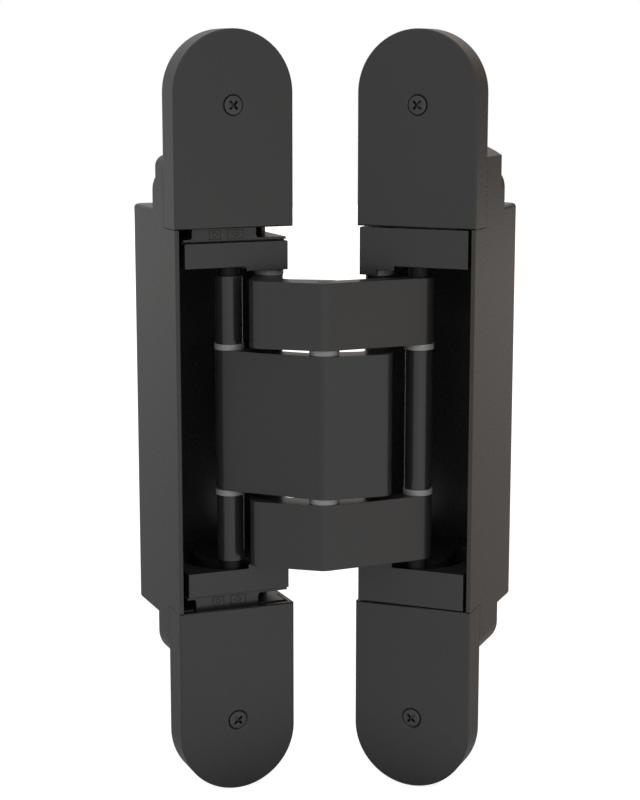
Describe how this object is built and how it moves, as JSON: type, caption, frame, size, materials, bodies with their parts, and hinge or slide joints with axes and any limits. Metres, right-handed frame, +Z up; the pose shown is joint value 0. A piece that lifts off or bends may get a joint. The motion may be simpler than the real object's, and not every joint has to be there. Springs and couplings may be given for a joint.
{
  "type": "concealed invisible door hinge",
  "caption": "Concealed door hinge with two narrow round-ended leaves joined by crossed arms that fold into pockets behind the leaf faces.",
  "frame": {"origin": "centre of the jamb leaf, on the plane of its flange backs", "axes": "+X across the jamb leaf towards the knuckle, +Y into the jamb, +Z up along the hinge"},
  "size_m": [0.096, 0.0642, 0.2],
  "materials": {
    "housing_metal": "satin black",
    "arm_metal": "satin black",
    "dark_pin": "satin black",
    "bright_washer": "matte grey",
    "black_screw": "black"
  },
  "bodies": {
    "jamb_leaf": {"jamb_housing": "housing_metal", "jamb_cap_top": "housing_metal", "jamb_cap_bottom": "housing_metal", "jamb_cap_screws": "black_screw", "jamb_carrier_top": "housing_metal", "jamb_carrier_bottom": "housing_metal", "jamb_clamp_screws": "black_screw", "jamb_front_pin": "dark_pin", "jamb_front_sleeve": "dark_pin", "jamb_front_washers": "bright_washer"},
    "outer_arm_set": {"outer_arm_top": "arm_metal", "outer_arm_bottom": "arm_metal", "centre_pin": "dark_pin", "centre_washers": "bright_washer", "door_slide_pin": "dark_pin", "door_slide_sleeve": "dark_pin", "door_slide_washers": "bright_washer", "door_slide_rollers": "dark_pin"},
    "centre_arm_set": {"centre_arm": "arm_metal", "jamb_slide_pin": "dark_pin", "jamb_slide_sleeve_top": "dark_pin", "jamb_slide_sleeve_bottom": "dark_pin", "jamb_slide_washers": "bright_washer", "jamb_slide_rollers": "dark_pin"},
    "door_leaf": {"door_housing": "housing_metal", "door_cap_top": "housing_metal", "door_cap_bottom": "housing_metal", "door_cap_screws": "black_screw", "door_carrier_top": "housing_metal", "door_carrier_bottom": "housing_metal", "door_clamp_screws": "black_screw", "door_front_pin": "dark_pin", "door_front_sleeve_top": "dark_pin", "door_front_sleeve_bottom": "dark_pin", "door_front_washers": "bright_washer"}
  },
  "joints": [
    {"name": "outer_arm_swing", "type": "hinge", "parent": "jamb_leaf", "child": "outer_arm_set", "pos_m": [0.0119, -0.0021, 0], "axis": [0, 0, 1], "range_deg": [-86.4, 28.8]},
    {"name": "arm_cross", "type": "hinge", "parent": "outer_arm_set", "child": "centre_arm_set", "pos_m": [0.01885, -0.02297, 0], "axis": [0, 0, 1], "range_deg": [-12.6, 37.8]},
    {"name": "door_leaf_swing", "type": "hinge", "parent": "centre_arm_set", "child": "door_leaf", "pos_m": [0.03853, -0.01313, 0], "axis": [0, 0, 1], "range_deg": [-86.4, 28.8]}
  ],
  "couplings": [
    {"joint": "arm_cross", "follows": "outer_arm_swing", "ratio": -0.4375},
    {"joint": "door_leaf_swing", "follows": "outer_arm_swing", "ratio": 1}
  ]
}
